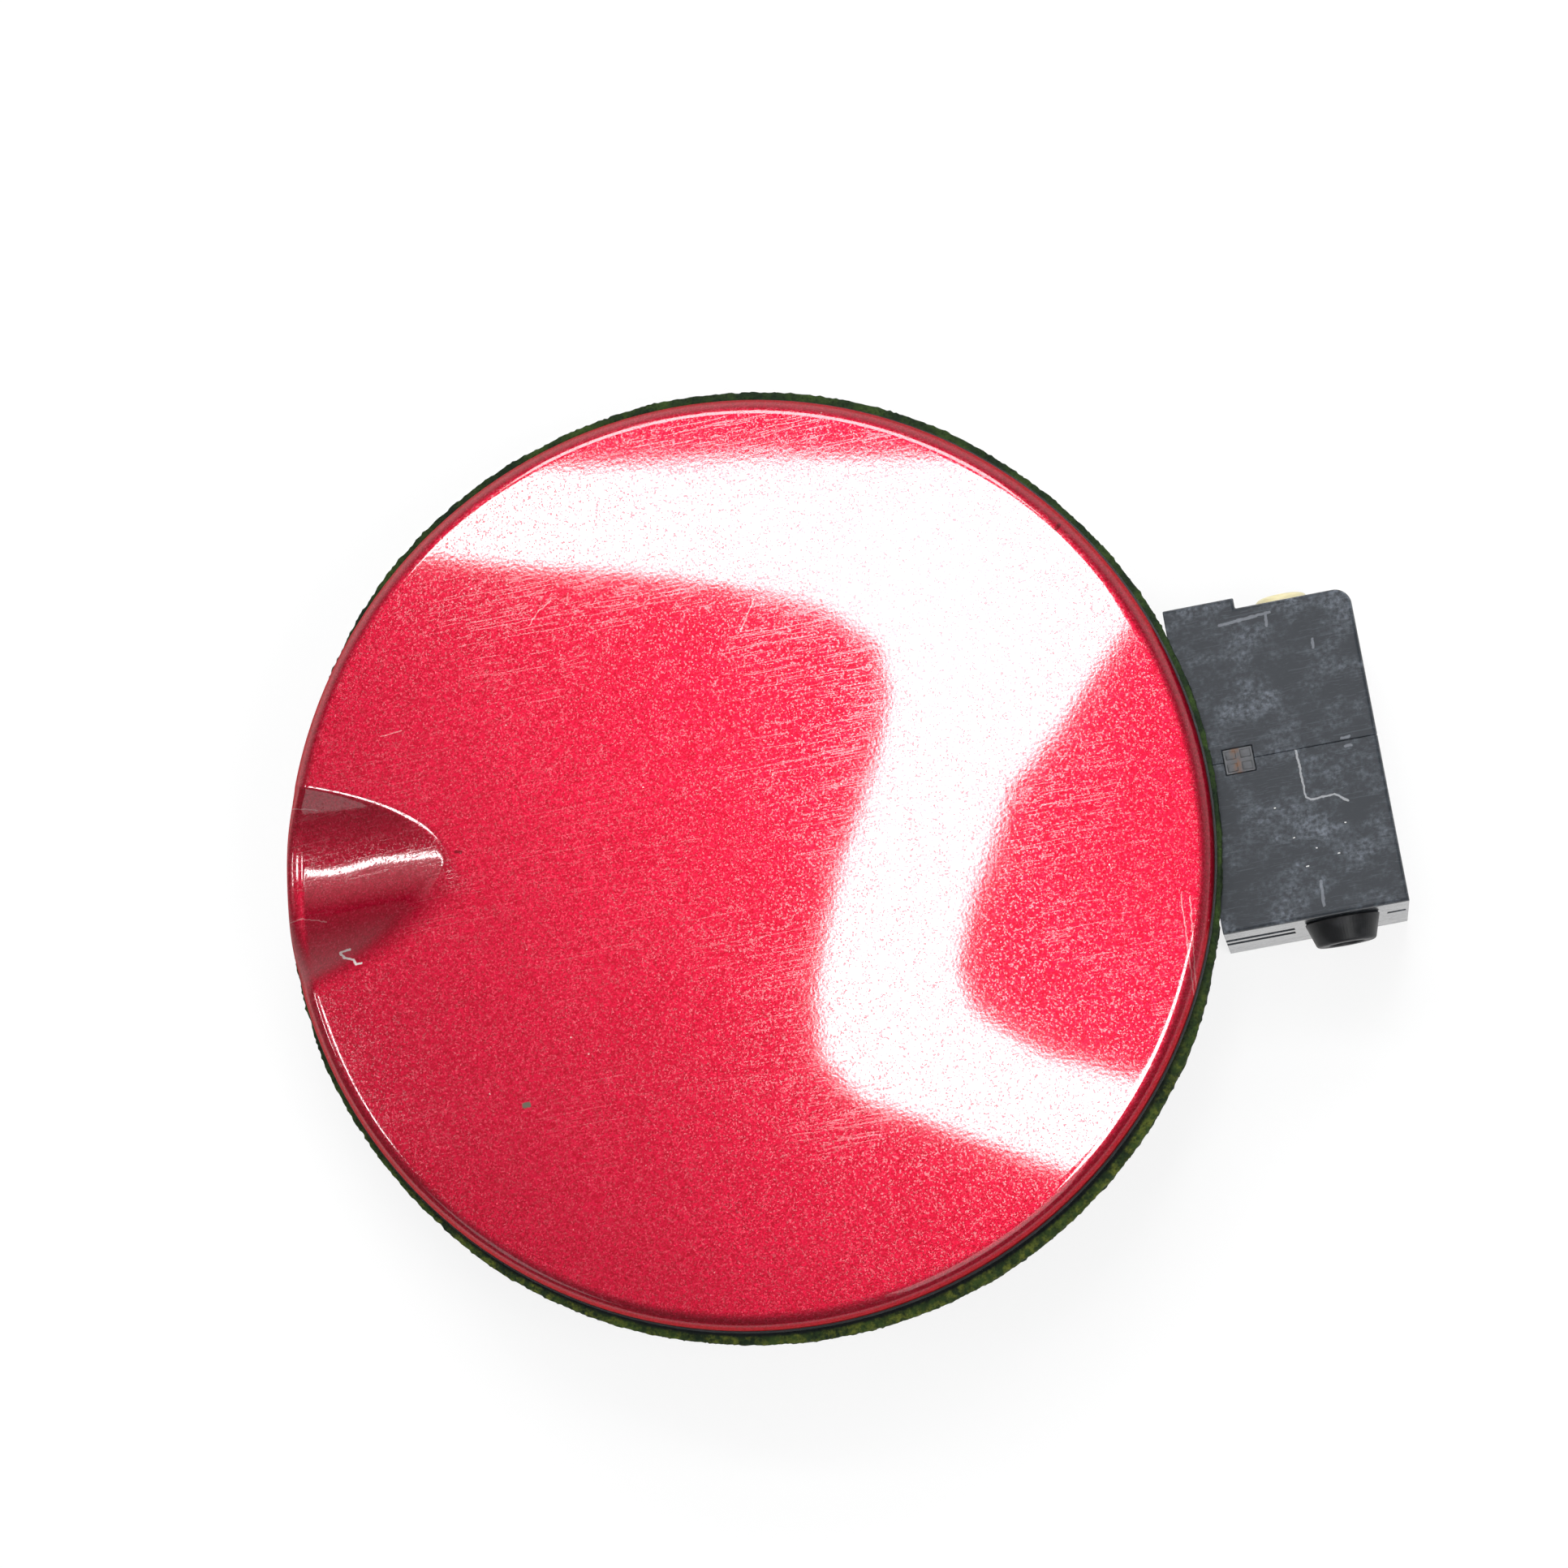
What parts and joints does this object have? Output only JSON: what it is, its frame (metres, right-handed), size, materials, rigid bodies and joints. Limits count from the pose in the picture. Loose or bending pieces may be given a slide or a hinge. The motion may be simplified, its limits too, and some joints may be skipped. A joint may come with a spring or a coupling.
{
  "type": "car fuel door",
  "caption": "Round domed painted car fuel door with a finger scoop and foam seal, on a gooseneck arm that swings in a clip-together hinge housing.",
  "frame": {"origin": "midway between the hinge housing's two screw holes, on its mounting face", "axes": "+Z out of the painted face, +X from the door to the hinge, +Y along the hinge pin"},
  "size_m": [0.197, 0.168, 0.0577],
  "materials": {
    "red_paint": "glossy metallic red, clear coat, fine scratches",
    "black_plastic": "moulded black plastic, scuffed",
    "foam": "dark foam, weathered green-black",
    "nylon": "natural nylon, cream",
    "rubber": "black rubber",
    "zinc_steel": "zinc-plated steel",
    "spring_steel": "spring steel"
  },
  "bodies": {
    "hinge_base": {"housing_upper_half": "black_plastic", "housing_lower_half": "black_plastic", "seam_clip": "zinc_steel", "hinge_pin": "zinc_steel", "pin_cap_bush": "nylon", "pin_lower_bush": "nylon", "end_knob": "rubber", "over_centre_spring": "spring_steel"},
    "door": {"outer_skin": "red_paint", "carrier_panel": "black_plastic", "foam_seal": "foam", "hinge_arm": "black_plastic", "arm_screws": "zinc_steel", "arm_bush_upper": "nylon", "arm_bush_lower": "nylon", "latch_tongue": "black_plastic", "latch_screws": "zinc_steel", "bump_stop_upper": "rubber", "bump_stop_lower": "rubber"}
  },
  "joints": [
    {"name": "door_swing", "type": "hinge", "parent": "hinge_base", "child": "door", "pos_m": [0, 0, 0.0326], "axis": [0, 1, 0], "range_deg": [0, 95], "deforming": ["over_centre_spring"]}
  ]
}
